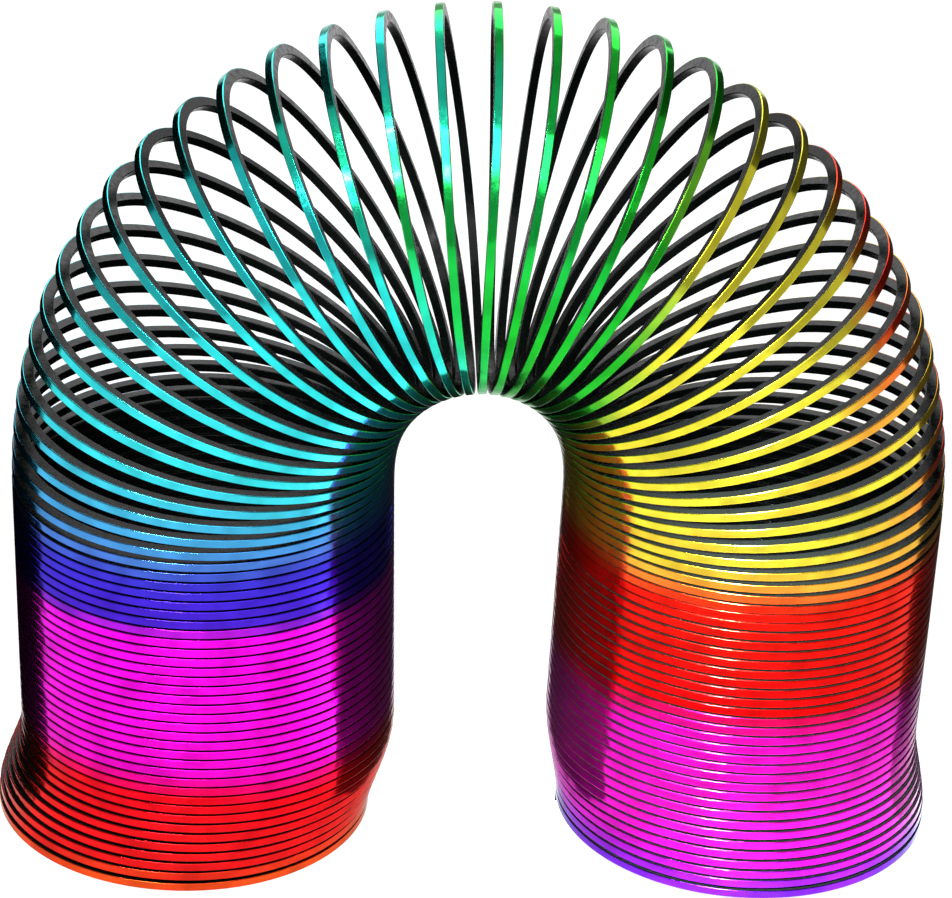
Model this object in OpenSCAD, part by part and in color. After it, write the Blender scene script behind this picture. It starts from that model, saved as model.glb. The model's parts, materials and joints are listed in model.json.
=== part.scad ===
// Spring coil toy: one long flat-wound strip of metallised plastic, standing on its two ends as an arch.
// The strip is cut at turn ends into rigid lengths. They hinge where the turns fan open over the arch,
// and slide where the closed turns of the legs pull apart.
// X runs from the left foot to the right foot, Z is up, and the coil's middle plane is Y = 0.

/* [Coil] */
// Outside diameter of the coil
coil_d = 75; // [65:1:85]
// Height of the strip along the coil's axis
strip_h = 1.7; // [1.3:0.05:1.7]
// Thickness of the strip across the coil's radius
strip_t = 2.4; // [2:0.1:3]
// Distance from one closed turn to the next in the left leg
closed_pitch = 2.06; // [1.95:0.01:2.15]

/* [Arch] */
// Number of turns that fan open over the arch
arch_turns = 42; // [38:1:44]
// Distance between the turns at the inner edge of the arch
arch_pitch = 1.8; // [1.78:0.01:1.9]
// How strongly the bending gathers at the crown
crown_power = 1.35; // [1:0.05:2]
// How much more the left half of the arch bends than the right half
crown_skew = 0.22; // [0:0.02:0.3]
// How far each leg leans out from the vertical towards its top, in degrees
leg_lean = 1.5; // [0:0.1:2.5]

/* [Legs] */
// Turns in the left leg, with its flat end turn
left_turns = 33; // [31:1:35]
// Turns in the right leg, with its flat end turn
right_turns = 29; // [28:1:31]
// Turns over which each leg straightens up from its flat end turn
fan_turns = 9; // [6:1:9]
// How far the left end turn has slipped outwards
left_slip = 5; // [0:0.5:5]
// How far the right end turn has slipped outwards
right_slip = 3; // [0:0.5:5]

/* [Hidden] */
$fn = 96;
coil_r = coil_d / 2;
// clear space between two lengths of strip that hinge or slide on each other
end_gap = 0.05;
// overlap that joins the half turns inside one length of strip
weld = 0.1;
// how far the cutting solids reach past the strip
margin = 1;
// turns in each of the three sliding lengths of a leg; the foot length holds the rest
section_turns = 8;
sections = 3;

ARCH_NODES = [for (j = [1:arch_turns]) str("arch_turn_", j < 10 ? "0" : "", j)];
LEFT_NODES = ["left_foot_coil", "left_lower_coil", "left_middle_coil", "left_upper_coil"];
RIGHT_NODES = ["right_upper_coil", "right_middle_coil", "right_lower_coil", "right_foot_coil"];

function sum(list) = list * [for (v = list) 1];
function smooth(t) = let (c = min(max(t, 0), 1)) c * c * (3 - 2 * c);

// A turn's frame is [x, z, tilt]: the place of its inner edge in the plane Y = 0, and the angle of the
// coil's axis there, clockwise from straight up.
function along(tilt) = [sin(tilt), cos(tilt)];
function outward(tilt) = [-cos(tilt), sin(tilt)];
function place(f) = [f.x, f.y];
function outer_edge(f) = place(f) + coil_d * outward(f.z);
function advance(f, pitch, tilt) = let (p = place(f) + pitch * along(f.z)) [p.x, p.y, tilt];
// the next frame where the two turns stay together at their outer edges and part at the inner edge
function advance_outer(f, pitch, tilt) =
    let (p = outer_edge(f) + pitch * along(f.z) - coil_d * outward(tilt)) [p.x, p.y, tilt];

// Left leg, from the table up
function left_tilt(i) = -leg_lean * smooth(i / fan_turns);
function left_shift(i) = left_slip * (smooth((i + 1) / fan_turns) - smooth(i / fan_turns));
LEFT = [for (i = 0, f = [0, 0, 0]; i <= left_turns;
    f = advance_outer(f, closed_pitch, left_tilt(i + 1)) + [left_shift(i), 0, 0], i = i + 1) f];

// Arch, from the left leg's top to the right leg's top
function crown(j) = let (u = (2 * j + 1) / arch_turns - 1) pow(1 - u * u, crown_power) * (1 - crown_skew * u);
CROWN = [for (j = [0:arch_turns - 1]) crown(j)];
BEND = CROWN * (180 + 2 * leg_lean) / sum(CROWN);
function tilt_after(j) = -leg_lean + sum([for (k = [0:j]) BEND[k]]);
ARCH = [for (j = 0, f = [LEFT[left_turns].x, LEFT[left_turns].y, tilt_after(0)]; j <= arch_turns;
    f = advance(f, arch_pitch, tilt_after(min(j + 1, arch_turns - 1))), j = j + 1) f];

// Right leg, from its top down to the table. Its pitch is the one that brings the end turn down flat on the table.
function right_tilt(i) = 180 + leg_lean * smooth((right_turns - 1 - i) / fan_turns);
function right_shift(i) = let (k = right_turns - 1 - i)
    right_slip * (smooth(k / fan_turns) - smooth((k - 1) / fan_turns));
function right_leg(pitch) = [for (i = 0, f = ARCH[arch_turns]; i <= right_turns;
    f = advance_outer(f, pitch, right_tilt(min(i + 1, right_turns - 1))) + [right_shift(i), 0, 0], i = i + 1) f];
function right_end(pitch) = right_leg(pitch)[right_turns].y - strip_h;
right_pitch = right_end(0) / (right_end(0) - right_end(1));
RIGHT = right_leg(right_pitch);

// The toy stands centred on the origin.
EDGES = [for (f = concat(LEFT, ARCH, RIGHT)) outer_edge(f).x];
centre_x = (min(EDGES) + max(EDGES)) / 2;

// Colour runs along the strip from red through magenta, violet, blue, green, yellow and back to purple.
all_turns = left_turns + arch_turns + right_turns;
function channel(hue, offset) =
    let (h = (hue + offset) % 360) min(max(abs(h - 180) / 60 - 1, 0), 1);
function strip_colour(turn) = let (hue = 725 - 435 * turn / all_turns)
    [channel(hue, 0), channel(hue, 240), channel(hue, 120)];

// Half a turn of strip: its lower face runs through the points [across, height] from inner to outer edge.
module half_turn(side, path, start, finish) {
    upper = [for (k = [len(path) - 1:-1:0]) path[k] + [0, strip_h]];
    bottom = -margin;
    height = max([for (p = path) p.y]) + strip_h + 2 * margin;
    span = coil_r + margin;
    intersection() {
        translate([coil_r, 0, bottom])
            difference() {
                cylinder(r = coil_r, h = height);
                translate([0, 0, -margin]) cylinder(r = coil_r - strip_t, h = height + 2 * margin);
            }
        rotate([90, 0, 0])
            translate([0, 0, side < 0 ? 0 : -span])
                linear_extrude(height = span)
                    polygon(concat(path, upper));
        // the ends of the half turn at the inner and the outer edge
        union() {
            translate([-margin, side < 0 ? -span : start, bottom]) cube([span, span - start, height]);
            translate([coil_r, side < 0 ? -span : finish, bottom]) cube([span, span - finish, height]);
        }
    }
}

module turn_in_place(f) {
    translate([f.x - centre_x, 0, f.y]) rotate([0, f.z, 0]) mirror([1, 0, 0]) children();
}

// One turn that climbs evenly. free_start and free_end leave the clear space to the next length of strip.
module turn(rise, free_start, free_end) {
    half_turn(-1, [[0, 0], [coil_d, rise / 2]], free_start ? end_gap : -weld, -weld);
    half_turn(1, [[0, rise], [coil_d, rise / 2]], free_end ? end_gap : -weld, -weld);
}

// The left end turn: it lies flat on the table for three quarters of its length and climbs in the last quarter.
module left_end_turn(rise) {
    half_turn(-1, [[0, 0], [coil_d, 0]], end_gap, -weld);
    half_turn(1, [[0, rise], [coil_r, 0], [coil_d, 0]], -weld, -weld);
}

// The right end turn: it drops in its first quarter and then lies flat on the table.
module right_end_turn(rise) {
    half_turn(-1, [[0, 0], [coil_r, rise], [coil_d, rise]], -weld, -weld);
    half_turn(1, [[0, rise], [coil_d, rise]], end_gap, -weld);
}

// The rise of a turn, from its own start to the start of the next one
function rise(frames, i) = (place(frames[i + 1]) - place(frames[i])) * along(frames[i].z);

module coil_length(frames, first, last) {
    for (i = [first:last])
        turn_in_place(frames[i]) turn(rise(frames, i), i == first, i == last);
}

module left_foot_coil() {
    color(strip_colour(0)) {
        turn_in_place(LEFT[0]) left_end_turn(rise(LEFT, 0));
        for (i = [1:left_turns - sections * section_turns - 1])
            turn_in_place(LEFT[i])
                turn(rise(LEFT, i), false, i == left_turns - sections * section_turns - 1);
    }
}

module left_coil(part) {
    first = left_turns - (sections - part) * section_turns;
    color(strip_colour(first)) coil_length(LEFT, first, first + section_turns - 1);
}

module arch_turn(j) {
    color(strip_colour(left_turns + j)) turn_in_place(ARCH[j]) turn(arch_pitch, true, true);
}

module right_coil(part) {
    first = part * section_turns;
    color(strip_colour(left_turns + arch_turns + first)) coil_length(RIGHT, first, first + section_turns - 1);
}

module right_foot_coil() {
    color(strip_colour(all_turns)) {
        for (i = [sections * section_turns:right_turns - 2])
            turn_in_place(RIGHT[i]) turn(rise(RIGHT, i), i == sections * section_turns, false);
        turn_in_place(RIGHT[right_turns - 1]) right_end_turn(right_pitch);
    }
}

left_foot_coil();
for (part = [0:sections - 1])
    left_coil(part);
for (j = [0:arch_turns - 1])
    arch_turn(j);
for (part = [0:sections - 1])
    right_coil(part);
right_foot_coil();
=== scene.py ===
# %% [markdown]
# # A rainbow spring coil, standing as an arch
# The real toy is one flat strip of plastic wound into about a hundred turns. It stands on its two ends,
# and its turns fan open over the top like the pages of a book. The model comes as a frame of rigid lengths
# of strip with hinges and slides between them, and here the strip is wound again as the smooth, rounded,
# shining thing that it is.

# %% Load the frame
import json
import math
import bpy
from mathutils import Matrix, Vector


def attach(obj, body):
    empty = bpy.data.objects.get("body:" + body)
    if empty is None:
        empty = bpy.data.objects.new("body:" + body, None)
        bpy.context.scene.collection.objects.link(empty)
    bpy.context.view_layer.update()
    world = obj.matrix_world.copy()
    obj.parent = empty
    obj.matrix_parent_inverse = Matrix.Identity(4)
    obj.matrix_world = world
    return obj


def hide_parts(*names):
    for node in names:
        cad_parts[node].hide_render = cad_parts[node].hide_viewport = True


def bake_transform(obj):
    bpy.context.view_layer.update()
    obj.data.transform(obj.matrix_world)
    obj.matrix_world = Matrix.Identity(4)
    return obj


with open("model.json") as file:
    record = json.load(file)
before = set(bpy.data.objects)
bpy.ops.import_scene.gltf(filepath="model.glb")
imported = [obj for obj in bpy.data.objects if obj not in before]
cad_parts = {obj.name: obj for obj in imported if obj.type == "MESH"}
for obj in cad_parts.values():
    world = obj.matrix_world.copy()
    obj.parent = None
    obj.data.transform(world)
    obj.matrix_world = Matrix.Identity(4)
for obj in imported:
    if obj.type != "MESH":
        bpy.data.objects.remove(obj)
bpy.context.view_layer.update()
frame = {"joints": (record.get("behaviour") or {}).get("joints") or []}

# %% [markdown]
# ## The sizes of the coil
# These are the sizes that the frame was drawn to, in metres and degrees. The turns of a leg lie closed on each
# other and lean a little outwards, and each leg's lowest turns straighten up until the end turn lies flat.

# %% Sizes
COIL_D = 0.075
COIL_R = COIL_D / 2
STRIP_H = 0.0017
STRIP_T = 0.0024
CLOSED_PITCH = 0.00206
LEG_LEAN = 1.5
LEFT_TURNS, ARCH_TURNS, RIGHT_TURNS = 33, 42, 29
ALL_TURNS = LEFT_TURNS + ARCH_TURNS + RIGHT_TURNS
ARCH_END = LEFT_TURNS + ARCH_TURNS
FAN_TURNS = 9
LEFT_SLIP, RIGHT_SLIP = 0.005, 0.003
print("the strip is about", round(math.pi * COIL_D * ALL_TURNS, 1), "m long")

# %% [markdown]
# ## Where each turn stands
# A turn's place is its inner edge in the plane y = 0 and the tilt of the coil's axis there, clockwise from
# straight up. Over the arch the frame's own hinges give both: each hinge is the inner edge of a turn, and the
# next hinge shows which way the turn faces. The legs follow from their pitch, lean and slip.

# %% Turn frames
def along(tilt):
    return Vector((math.sin(math.radians(tilt)), 0, math.cos(math.radians(tilt))))


def outward(tilt):
    return Vector((-math.cos(math.radians(tilt)), 0, math.sin(math.radians(tilt))))


def ease(t):
    t = min(max(t, 0), 1)
    return t * t * (3 - 2 * t)


hinges = [j for j in frame["joints"] if j["type"] == "hinge"]
hinge_places = [Vector(j["pos_m"]) for j in hinges]
arch_steps = [b - a for a, b in zip(hinge_places, hinge_places[1:])]
arch_tilts = [math.degrees(math.atan2(s.x, s.z)) for s in arch_steps]
arch_tilts = [t + 360 if t < -90 else t for t in arch_tilts] + [180 + LEG_LEAN]
arch_pitch = arch_steps[0].length
print("turns over the arch:", len(hinges), "pitch there:", round(arch_pitch * 1000, 3), "mm")

# %% Leg frames
def next_place(place, tilt, pitch, new_tilt):
    """Turns of a leg stay together at their outer edges and part at the inner edge."""
    return place + outward(tilt) * COIL_D + along(tilt) * pitch - outward(new_tilt) * COIL_D


def left_leg_from(start):
    turns = [(start, 0.0)]
    for i in range(LEFT_TURNS):
        place, tilt = turns[-1]
        new_tilt = -LEG_LEAN * ease((i + 1) / FAN_TURNS)
        slip = LEFT_SLIP * (ease((i + 1) / FAN_TURNS) - ease(i / FAN_TURNS))
        turns.append((next_place(place, tilt, CLOSED_PITCH, new_tilt) + Vector((slip, 0, 0)), new_tilt))
    return turns


def right_leg_from(start, pitch):
    turns = [(start, arch_tilts[-1])]
    for i in range(RIGHT_TURNS):
        place, tilt = turns[-1]
        k = RIGHT_TURNS - 1 - i
        new_tilt = 180 + LEG_LEAN * ease((k - 1) / FAN_TURNS)
        slip = RIGHT_SLIP * (ease(k / FAN_TURNS) - ease((k - 1) / FAN_TURNS))
        turns.append((next_place(place, tilt, pitch, new_tilt) + Vector((slip, 0, 0)), new_tilt))
    return turns


left = left_leg_from(Vector((0, 0, 0)))
shift = hinge_places[0] - left[-1][0]
left = [(place + shift, tilt) for place, tilt in left]
arch = list(zip(hinge_places, arch_tilts))
right_top = hinge_places[-1] + along(arch_tilts[-1]) * arch_pitch
# the leg's end height falls evenly with its pitch, so two trials give the pitch that lands it on the table
TRIAL_PITCH = 0.001
high, low = (right_leg_from(right_top, pitch)[-1][0].z - STRIP_H for pitch in (0.0, TRIAL_PITCH))
right_pitch = TRIAL_PITCH * high / (high - low)
right = right_leg_from(right_top, right_pitch)
turns = left[:-1] + arch + right
print("left end turn at z =", round(left[0][0].z * 1000, 3), "mm")
print("right pitch", round(right_pitch * 1000, 3), "mm")

# %% [markdown]
# ## One smooth strip
# A point of the strip is found from its turn count, such as 40.25, and its place in the strip's cross-section.
# The strip climbs as it goes round, and where two turns hinge it bends evenly about their shared inner edge, so
# the strip runs on smoothly through every hinge instead of kinking. The end turns are eased down onto the
# table.

# %% Follow the strip
END_TURN_EASE = 1.6


def climb(turn, part):
    """How far the strip has climbed at this part of the turn, as a share of the turn's rise."""
    if turn == 0:
        return part ** END_TURN_EASE
    if turn == ALL_TURNS - 1:
        return 1 - (1 - part) ** END_TURN_EASE
    return part


def turned(vector, degrees):
    return Matrix.Rotation(math.radians(degrees), 3, "Y") @ vector


def strip_section(count):
    """The strip's place, radial direction and axis direction at this turn count."""
    turn = min(int(count), ALL_TURNS - 1)
    part = count - turn
    place, tilt = turns[turn]
    after, tilt_after = turns[turn + 1]
    angle = 2 * math.pi * part
    step = after - place
    centre = place + outward(tilt) * (COIL_R + step.dot(outward(tilt)) * part)
    centre = centre + along(tilt) * (step.dot(along(tilt)) * climb(turn, part))
    radial = outward(tilt) * -math.cos(angle) + Vector((0, -1, 0)) * math.sin(angle)
    reach = (1 - math.cos(angle)) / 2
    # a turn takes half of each hinge's bend at the hinge, and none at its outer edge
    share = 1 - ease(0.5 + 0.5 * reach)
    if part < 0.5:
        pivot, bend = place, -(tilt - turns[turn - 1][1]) if turn else 0
    else:
        pivot, bend = after, tilt_after - tilt
    middle = pivot + turned(centre - pivot, share * bend)
    return middle, turned(radial, share * bend), turned(along(tilt), share * bend)


print("top of the arch:", tuple(round(v * 1000, 1) for v in strip_section(LEFT_TURNS + 19.5)[0]))

# %% [markdown]
# ## The strip's cross-section
# The strip is moulded flat, 2.4 mm deep and 1.7 mm high, with edges rounded by the mould. The small rounding
# matters more than its size says: it is what draws the fine bright line along every edge.

# %% Cross-section
EDGE_RADIUS = 0.00022
EDGE_STEPS = (0, 30, 60, 90)


def section_points():
    """[(radial offset, axis offset, radial normal, axis normal)] once round the section."""
    points = []
    corners = ((1, 1, 0), (-1, 1, 90), (-1, -1, 180), (1, -1, 270))
    for side, level, start in corners:
        across = COIL_R - STRIP_T / 2 + side * (STRIP_T / 2 - EDGE_RADIUS)
        height = STRIP_H / 2 + level * (STRIP_H / 2 - EDGE_RADIUS)
        for step in EDGE_STEPS:
            a = math.radians(start + step)
            points.append((across + EDGE_RADIUS * math.cos(a), height + EDGE_RADIUS * math.sin(a),
                           math.cos(a), math.sin(a)))
    return points


SECTION = section_points()
# the sides that show outwards: the outer face, which closes the section, and the rounded edges beside it
ROUNDING = len(EDGE_STEPS) - 1
OUTER_SIDES = {(side - 1) % len(SECTION) for side in range(-ROUNDING, ROUNDING + 1)}
print("points round the section:", len(SECTION), "outer sides:", sorted(OUTER_SIDES))

# %% [markdown]
# ## Winding a length of strip
# Each length is a tube of sections, 96 to a turn. Its exact normals are stored with it, so the flat faces shade
# flat and the rounded edges shade round without thousands of extra faces. Every point also keeps its turn
# count, which is what the rainbow is painted by.

# %% Wind
STEPS_PER_TURN = 96
LEAN_TURNS, DRIFT_TURNS, DRIFTS_PER_TURN = 1.2, 1.5, 3.4
ORANGE_TURN = 72.4
skin_and_core = []


def tint_place(count):
    """Where on the rainbow this point is. The dye was sprayed from one side, so over the arch the colours
    lean towards a turn's inner edge, drift a little round it, and turn orange early at the outer edge of
    the turns on the right."""
    outer = (1 - math.cos(2 * math.pi * (count % 1))) / 2
    over_arch = ease((count - 40) / 4) * (1 - ease((count - 67) / 4))
    lean = LEAN_TURNS * min(max((count - 46) / 4, -1), 1) * (1 - outer)
    drift = DRIFT_TURNS * math.sin(2 * math.pi * DRIFTS_PER_TURN * (count % 1) + 0.9 * int(count))
    early = (ORANGE_TURN - count) * ease((count - 55.5) / 4) * outer ** 1.8
    return (count + (lean + drift + early) * over_arch) / ALL_TURNS


def wind(name, first, last):
    steps = max(round((last - first) * STEPS_PER_TURN), 1)
    counts = [first + (last - first) * i / steps for i in range(steps + 1)]
    points, normals, places = [], [], []
    for count in counts:
        middle, radial, axis = strip_section(count)
        for across, height, nr, na in SECTION:
            points.append(middle + radial * across + axis * height)
            normals.append(radial * nr + axis * na)
            places.append(tint_place(count))
    n = len(SECTION)
    faces = [(i * n + j, i * n + (j + 1) % n, (i + 1) * n + (j + 1) % n, (i + 1) * n + j)
             for i in range(steps) for j in range(n)]
    if first == 0:
        faces.append(tuple(range(n)))
    if last == ALL_TURNS:
        faces.append(tuple(reversed(range(steps * n, (steps + 1) * n))))
    mesh = bpy.data.meshes.new(name)
    mesh.from_pydata(points, [], faces)
    for material in skin_and_core:
        mesh.materials.append(material)
    mesh.polygons.foreach_set("material_index", [0 if k < steps * n and k % n in OUTER_SIDES else 1
                                                 for k in range(len(faces))])
    mesh.polygons.foreach_set("use_smooth", [k < steps * n for k in range(len(faces))])
    mesh.attributes.new("rainbow_place", "FLOAT", "POINT").data.foreach_set("value", places)
    mesh.normals_split_custom_set_from_vertices([v.normalized() for v in normals])
    piece = bpy.data.objects.new(name, mesh)
    bpy.context.scene.collection.objects.link(piece)
    return piece


# %% [markdown]
# ## Colours and a helper for nodes
# Colours are written as the hex values that a paint chart gives, and turned to the linear light that Blender
# works in by one function. Another adds one shader node with its settings and links, and a third turns the real
# size of a pattern into its scale.

# %% Colour and node helpers
def linear(hex_colour):
    channels = [int(hex_colour[i:i + 2], 16) / 255 for i in (0, 2, 4)]
    return tuple(c / 12.92 if c <= 0.04045 else ((c + 0.055) / 1.055) ** 2.4 for c in channels) + (1.0,)


def add(tree, kind, settings=None, **inputs):
    """Add one node. Each input is named by its socket, with _ for a space, or by its number, as in i0."""
    node = tree.nodes.new(kind)
    for key, value in (settings or {}).items():
        setattr(node, key, value)
    for key, value in inputs.items():
        numbered = key[0] == "i" and key[1:].isdigit()
        socket = node.inputs[int(key[1:]) if numbered else key.replace("_", " ")]
        if isinstance(value, bpy.types.NodeSocket):
            tree.links.new(value, socket)
        else:
            socket.default_value = value
    return node


def new_material(name):
    material = bpy.data.materials.new(name)
    material.use_nodes = True
    material.node_tree.nodes.clear()
    return material, material.node_tree


def per_metre(size_mm):
    """How many cells of a pattern fit in a metre, from the size of one."""
    return round(1000 / size_mm)


print("red on the chart in linear light:", tuple(round(c, 3) for c in linear("e5090c")))

# %% [markdown]
# ## Outer skin: vacuum-metallised, tinted plastic
# The coil goes into the vacuum chamber closed, so only its outer face takes the aluminium film, and then the
# rainbow of clear dyed lacquer goes over it. The film is a true mirror, so the skin is shaded as a metal whose
# colour is the dye. The dye swallows more light the longer its path, so the skin goes dark where it is seen
# edge on: a dark specular tint gives that. Fine waves in the moulding break the reflections into cells, and the
# lacquer lies a little thicker here and there.

# %% Rainbow
# each colour with the turn at which it is pure, counted from the left foot
RAINBOW = [
    (0.0, "e7501e"), (1.6, "e61a1c"), (9.0, "ee0a1c"), (10.4, "f2056c"), (11.8, "f008c8"), (16, "f40ad8"),
    (26.3, "f00ae4"), (27.5, "4a22cc"), (30.5, "4226d2"), (32.6, "3a34c8"), (34.2, "4a78d0"), (37, "46b0e0"),
    (40, "3adfe6"), (48.5, "2fe4e2"), (50.5, "2beabc"), (52, "20d05c"), (55, "1cc433"), (58.5, "2abf2c"),
    (61, "a8d23c"), (63, "f2ea3c"), (69.5, "f8ea40"), (71.2, "f8b03c"), (72.4, "fb6a2c"), (73.5, "f41d10"),
    (84.5, "e5090e"), (86, "ea0f80"), (87.5, "ee12c8"), (97, "e61cc4"), (100, "c010b0"), (102, "7a14a8"),
    (104, "3c1690"),
]


def rainbow_ramp(tree, place):
    ramp = add(tree, "ShaderNodeValToRGB", Fac=place)
    stops = ramp.color_ramp.elements
    while len(stops) > 1:
        stops.remove(stops[0])
    for i, (turn, colour) in enumerate(RAINBOW):
        stop = stops[0] if i == 0 else stops.new(turn / ALL_TURNS)
        stop.position = turn / ALL_TURNS
        stop.color = linear(colour)
    return ramp.outputs["Color"]


print("rainbow stops:", len(RAINBOW))

# %% Metallised skin
skin, tree = new_material("vacuum_metallised_tinted_plastic")
place = add(tree, "ShaderNodeAttribute", {"attribute_name": "rainbow_place"}).outputs["Fac"]
where = add(tree, "ShaderNodeTexCoord").outputs["Object"]
# lacquer runs: soft patches about 6 mm across, in which the dye lies thicker and darker
runs = add(tree, "ShaderNodeTexNoise", Vector=where,
           Scale=per_metre(6.25), Detail=2.0, Roughness=0.5).outputs["Fac"]
runs = add(tree, "ShaderNodeMapRange", Value=runs, From_Min=0.35, From_Max=0.7,
           To_Min=1.0, To_Max=0.7).outputs["Result"]
# the edge of each colour is sprayed, so it wanders by about half a turn
wander = add(tree, "ShaderNodeTexNoise", Vector=where, Scale=per_metre(22.2), Detail=1.0).outputs["Fac"]
wander = add(tree, "ShaderNodeMapRange", Value=wander, From_Min=0.3, From_Max=0.7,
             To_Min=-0.004, To_Max=0.004).outputs["Result"]
spray = add(tree, "ShaderNodeMath", {"operation": "ADD"}, i0=place, i1=wander).outputs[0]
dye = rainbow_ramp(tree, spray)
thick = add(tree, "ShaderNodeCombineColor", i0=runs, i1=runs, i2=runs).outputs["Color"]
dye = add(tree, "ShaderNodeMix", {"data_type": "RGBA", "blend_type": "MULTIPLY"},
          i0=1.0, i6=dye, i7=thick).outputs[2]
# handling leaves hair-fine scuffs, drawn 0.4 mm apart so that they show as a slight haze
scuffs = add(tree, "ShaderNodeTexNoise", Vector=where,
             Scale=per_metre(0.4), Detail=3.0, Roughness=0.7).outputs["Fac"]
haze = add(tree, "ShaderNodeMapRange", Value=scuffs, From_Min=0.35, From_Max=0.75,
           To_Min=0.1, To_Max=0.22).outputs["Result"]
# moulding waves about 5 mm long
waves = add(tree, "ShaderNodeTexNoise", Vector=where, Scale=per_metre(4.76), Detail=1.0).outputs["Fac"]
relief = add(tree, "ShaderNodeBump", Strength=0.5, Distance=0.0003, Height=waves).outputs["Normal"]
shine = add(tree, "ShaderNodeBsdfPrincipled", Base_Color=dye, Metallic=1.0, Roughness=haze, Normal=relief)
shine.inputs["Specular Tint"].default_value = (0.6, 0.68, 0.62, 1.0)
shine.inputs["Coat Weight"].default_value = 0.03
shine.inputs["Coat Roughness"].default_value = 0.06
add(tree, "ShaderNodeOutputMaterial", Surface=shine.outputs[0])
print("material:", skin.name)

# %% [markdown]
# ## Core: black polystyrene, partly painted shade
# The flat faces and the inside of the coil stay bare, as they came from the mould: glossy black polystyrene,
# with a faint haze where turn rubs on turn. Their near-black colour is partly the plastic's own and partly
# painted shade, which stands in for the dark surroundings that these faces mirror. The shine is kept low, so
# that the open arch reads as clean black.

# %% Black core
black_core_and_painted_shade, tree = new_material("black_polystyrene_and_painted_shade")
where = add(tree, "ShaderNodeTexCoord").outputs["Object"]
# rub marks about as wide as the strip is high
rub = add(tree, "ShaderNodeTexNoise", Vector=where,
          Scale=per_metre(1.428), Detail=3.0, Roughness=0.65).outputs["Fac"]
rubbed = add(tree, "ShaderNodeMapRange", Value=rub, From_Min=0.4, From_Max=0.8,
             To_Min=0.18, To_Max=0.42).outputs["Result"]
# the core's near-black is partly the plastic's own colour and partly painted shade for the dark surroundings
# the flats mirror; the rub marks only vary it at random
rubbed_black_and_painted_shade = add(tree, "ShaderNodeValToRGB", Fac=rub)
rubbed_black_and_painted_shade.color_ramp.elements[0].color = linear("020403")
rubbed_black_and_painted_shade.color_ramp.elements[1].color = linear("0a100d")
core_shine = add(tree, "ShaderNodeBsdfPrincipled", Base_Color=rubbed_black_and_painted_shade.outputs["Color"], Roughness=rubbed)
core_shine.inputs["IOR"].default_value = 1.59
core_shine.inputs["Specular IOR Level"].default_value = 0.05
add(tree, "ShaderNodeOutputMaterial", Surface=core_shine.outputs[0])
skin_and_core.extend([skin, black_core_and_painted_shade])
print("material:", black_core_and_painted_shade.name)

# %% [markdown]
# ## The legs
# A leg is rigid lengths that slide apart when the toy is pulled. On the real coil a pull opens every turn a
# little, so each length of strip here runs from the middle of one rigid length to the middle of the next. The
# lengths are wound at rest and are not spread.

# %% Legs
SECTION_TURNS = 8


def dress(piece, *nodes):
    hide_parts(*nodes)
    return piece


slide_axis = {j["child"]: Vector(j["axis"]) for j in frame["joints"] if j["type"] == "slide"}
# the opening would start just past the strip's own height, so that the strip where a piece starts isn't
# stretched; spread() works this start out but opens nothing
PAST_STRIP = 1.05


def spread(piece, after, first, last):
    """Works out the leg's slide and the strip's far side at turn first and at turn last, but opens nothing: the
    piece only has its place baked into its mesh.
    """
    axis = slide_axis[after]
    start, end = (turns[k][0] + outward(turns[k][1]) * COIL_R for k in (first, last))
    start = start + axis * STRIP_H * PAST_STRIP
    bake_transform(piece)


left_bodies = ["left_foot_coil", "left_lower_coil", "left_middle_coil", "left_upper_coil"]
left_firsts = [0] + [LEFT_TURNS - SECTION_TURNS * k for k in (3, 2, 1)]
left_middles = [left_firsts[1] // 2 + 1] + [first + SECTION_TURNS // 2 for first in left_firsts[1:]]
foot = dress(wind("left_foot_windings", 0, left_middles[0]), "left_foot_coil")
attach(foot, "left_foot_coil")
for k in (0, 1, 2):
    piece = dress(wind("left_windings_%d" % (k + 1), left_middles[k], left_middles[k + 1]), left_bodies[k + 1])
    spread(piece, left_bodies[k + 1], left_middles[k], left_middles[k + 1])
top = wind("left_top_windings", left_middles[3], LEFT_TURNS - 0.5)
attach(top, "left_upper_coil")
print("left leg pieces end at turns", left_middles + [LEFT_TURNS - 0.5])

# %% Right leg
right_bodies = ["right_upper_coil", "right_middle_coil", "right_lower_coil", "right_foot_coil"]
right_middles = [ARCH_END + SECTION_TURNS * k + SECTION_TURNS // 2 for k in (0, 1, 2)] + [ALL_TURNS - 2]
top = dress(wind("right_top_windings", ARCH_END - 0.5, right_middles[0]), "right_upper_coil")
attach(top, "right_upper_coil")
for k in (0, 1, 2):
    piece = wind("right_windings_%d" % (k + 1), right_middles[k], right_middles[k + 1])
    if k < 2:
        dress(piece, right_bodies[k + 1])
    spread(piece, right_bodies[k + 1], right_middles[k], right_middles[k + 1])
foot = dress(wind("right_foot_windings", right_middles[3], ALL_TURNS), "right_foot_coil")
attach(foot, "right_foot_coil")
print("right leg pieces end at turns", right_middles)

# %% [markdown]
# ## The arch
# Between one hinge and the next the strip goes once round. The back half of a turn and the front half of the
# next one meet at the hinge, where the wound shape takes half of the hinge's bend on either side of it. Each
# half is baked in place and is not tied to a body.

# %% Arch
arch_nodes = ["arch_turn_%02d" % (k + 1) for k in range(ARCH_TURNS)]
for k, joint in enumerate(hinges):
    count = LEFT_TURNS + k
    back = wind("arch_back_%02d" % (k + 1), count - 0.5, count)
    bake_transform(back)
    front = dress(wind("arch_front_%02d" % (k + 1), count, count + 0.5), arch_nodes[k])
    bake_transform(front)
print("arch pieces:", 2 * len(hinges))

# %% [markdown]
# ## Table
# A light table: white acrylic lit from below, so that the toy stands on clean white with hardly a shadow. The
# shining outer faces of the legs mirror this table.

# %% Light table
def sheet(name, corners, material):
    mesh = bpy.data.meshes.new(name)
    mesh.from_pydata(corners, [], [(0, 1, 2, 3)])
    mesh.materials.append(material)
    piece = bpy.data.objects.new(name, mesh)
    bpy.context.scene.collection.objects.link(piece)
    return piece


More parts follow.
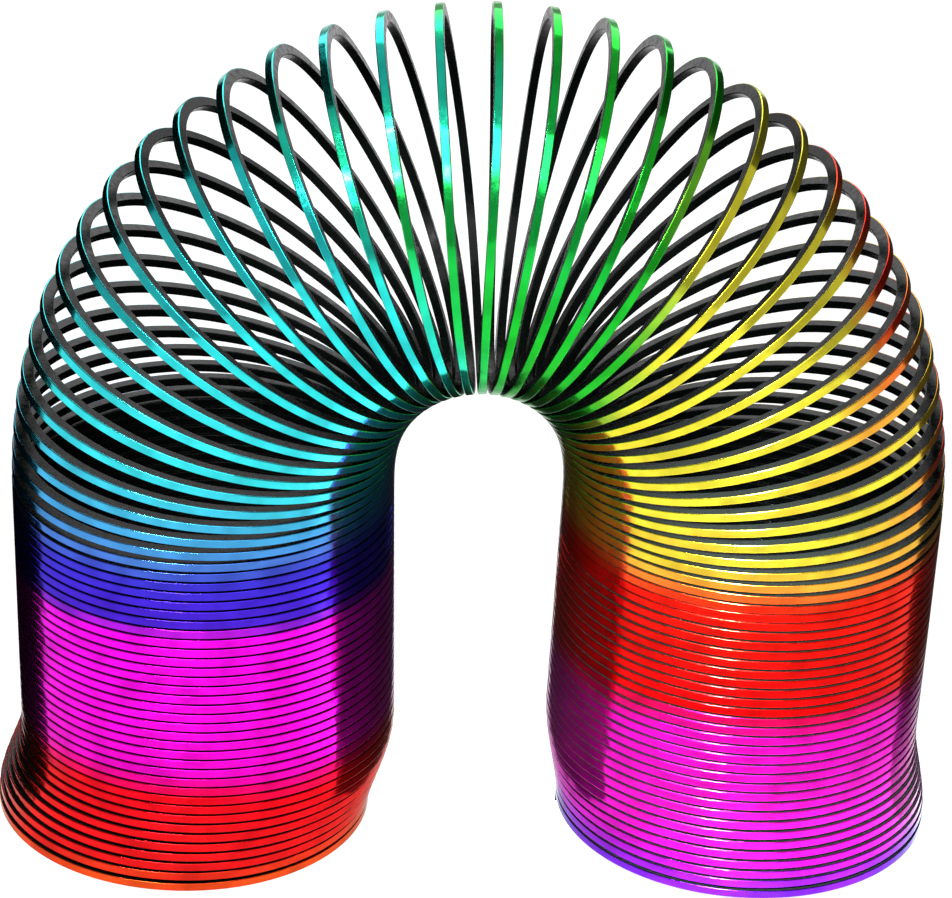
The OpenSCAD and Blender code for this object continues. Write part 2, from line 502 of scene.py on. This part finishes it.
acrylic, tree = new_material("lit_white_acrylic")
grain = add(tree, "ShaderNodeTexNoise", Scale=900.0, Detail=2.0).outputs["Fac"]
pale = add(tree, "ShaderNodeMapRange", Value=grain, To_Min=0.1, To_Max=0.14).outputs["Result"]
pale = add(tree, "ShaderNodeCombineColor", i0=pale, i1=pale, i2=pale).outputs["Color"]
glow = add(tree, "ShaderNodeBsdfPrincipled", Base_Color=pale, Roughness=0.8)
glow.inputs["Emission Color"].default_value = (1, 1, 1, 1)
glow.inputs["Emission Strength"].default_value = 1.03
add(tree, "ShaderNodeOutputMaterial", Surface=glow.outputs[0])
sheet("light_table", [(-4, -4, -0.0002), (4, -4, -0.0002), (4, 4, -0.0002), (-4, 4, -0.0002)], acrylic)
print("table laid")

# %% [markdown]
# ## Light
# Soft studio light: a white tent round the toy, a soft box above the front and another behind. Dark cards stand
# to the left, to the right and between the legs, and the mirror-bright strip picks them up as the dark edges of
# each leg. They are kept out of the picture itself.

# %% Tent and soft boxes
world = bpy.data.worlds.new("white_tent")
bpy.context.scene.world = world
world.use_nodes = True
world.node_tree.nodes["Background"].inputs["Color"].default_value = (1, 1, 1, 1)
world.node_tree.nodes["Background"].inputs["Strength"].default_value = 0.5


def lamp(name, place, target, size, power):
    data = bpy.data.lights.new(name, "AREA")
    data.shape = "RECTANGLE"
    data.size, data.size_y = size
    data.energy = power
    light = bpy.data.objects.new(name, data)
    light.location = place
    light.rotation_euler = (Vector(target) - Vector(place)).to_track_quat("-Z", "Y").to_euler()
    bpy.context.scene.collection.objects.link(light)
    return light


lamp("front_softbox", (0, -0.7, 0.9), (0, 0, 0.05), (0.9, 0.6), 7)
lamp("back_softbox", (0, 1.3, 0.75), (0, 0, 0.1), (1.8, 0.8), 11)
# shown without a film curve, so that the dyes keep their full strength
bpy.context.scene.view_settings.view_transform = "Standard"

# %% Dark cards
def card_material(name, grey):
    material, tree = new_material(name)
    fibres = add(tree, "ShaderNodeTexNoise", Scale=600.0, Detail=2.0).outputs["Fac"]
    dark = add(tree, "ShaderNodeMapRange", Value=fibres,
               To_Min=grey * 0.7, To_Max=grey * 1.3).outputs["Result"]
    dark = add(tree, "ShaderNodeCombineColor", i0=dark, i1=dark, i2=dark).outputs["Color"]
    flock = add(tree, "ShaderNodeBsdfPrincipled", Base_Color=dark, Roughness=0.95)
    flock.inputs["Specular IOR Level"].default_value = 0.0
    add(tree, "ShaderNodeOutputMaterial", Surface=flock.outputs[0])
    return material


def hidden_card(name, corners, material):
    """A card that the strip mirrors but the camera doesn't see."""
    sheet(name, corners, material).visible_camera = False


black = card_material("matt_black_card", 0.006)
charcoal = card_material("matt_charcoal_card", 0.09)
STANDING_TOP, LYING_X, LYING_FRONT, LYING_BACK, LYING_Z = 0.4, 0.1, -0.014, 0.5, 0.0001
for side, name, material in ((-1, "left", black), (1, "right", charcoal)):
    near, far = (side * 0.13, 0.0), (side * 0.2, 0.5)
    hidden_card("standing_card_" + name,
                [(*near, 0), (*far, 0), (*far, STANDING_TOP), (*near, STANDING_TOP)], material)
    hidden_card("lying_card_" + name,
                [(side * LYING_X, LYING_FRONT, LYING_Z), (*near, LYING_Z), (*far, LYING_Z),
                 (side * LYING_X, LYING_BACK, LYING_Z)], material)
BETWEEN_TOP = 0.088
near, far = (0.0005, -0.0275), (0.0005, 0.16)
hidden_card("card_between", [(*near, 0), (*far, 0), (*far, BETWEEN_TOP), (*near, BETWEEN_TOP)], charcoal)

# %% [markdown]
# ## Glints
# Two thin tube lamps, high in front and to the left, give the strands left of the crown a pair of hard white
# glints each. A row of narrow spots, aimed only at the right leg, draws a line of small bright ticks down it,
# one on the edge of every turn.

# %% Small lamps
def in_front(azimuth, elevation, distance):
    """The step to a place this far away, by its compass angle and its height angle in degrees."""
    a, e = math.radians(azimuth), math.radians(elevation)
    return Vector((math.cos(e) * math.cos(a), math.cos(e) * math.sin(a), math.sin(e))) * distance


crown = Vector((-0.02, 0, 0.14))
lamp("lower_tube", crown + in_front(-114, 39, 0.9), crown, (0.46, 0.016), 4)
lamp("upper_tube", crown + in_front(-128, 61, 0.9), crown, (0.26, 0.016), 3)
leg_middle = Vector((0.055, -COIL_R, 0.04))
SPOT_AZIMUTHS, SPOT_ELEVATION, SPOT_DISTANCE = (-99, -102.5, -106, -109.5), 42, 0.95
for k, azimuth in enumerate(SPOT_AZIMUTHS):
    spot_data = bpy.data.lights.new("leg_spot_%d" % (k + 1), "SPOT")
    spot_data.energy = 300
    spot_data.shadow_soft_size = 0.016
    spot_data.spot_size = math.radians(6)
    spot_data.spot_blend = 0.5
    spot = bpy.data.objects.new(spot_data.name, spot_data)
    spot.location = leg_middle + in_front(azimuth, SPOT_ELEVATION, SPOT_DISTANCE)
    spot.rotation_euler = (leg_middle - spot.location).to_track_quat("-Z", "Y").to_euler()
    bpy.context.scene.collection.objects.link(spot)

# %% [markdown]
# ## Camera
# A long lens from about 0.9 m away, 27 degrees above the table and 2 degrees to the left, rolled a little.

# %% Camera
target = Vector((0.00014, 0, 0.08016))
elevation, azimuth, roll, distance = 27.06, -92.0, 2.285, 0.8914
lens_mm = 171.9
away = in_front(azimuth, elevation, 1)
data = bpy.data.cameras.new("camera")
data.sensor_width = 36
data.lens = lens_mm
data.clip_end = 20
camera = bpy.data.objects.new("camera", data)
camera.location = target + away * distance
level = (-away).to_track_quat("-Z", "Y").to_matrix()
camera.rotation_euler = (level @ Matrix.Rotation(math.radians(roll), 3, "Z")).to_euler()
bpy.context.scene.collection.objects.link(camera)
bpy.context.scene.camera = camera
print("camera at", tuple(round(v, 3) for v in camera.location))

# %% [markdown]
# ## Finish
# The strip has to fill the frame's box and no more. A helper here rounds the corners of a box.

# %% Finish
def corners(box):
    return [[round(float(v), 5) for v in corner] for corner in box]
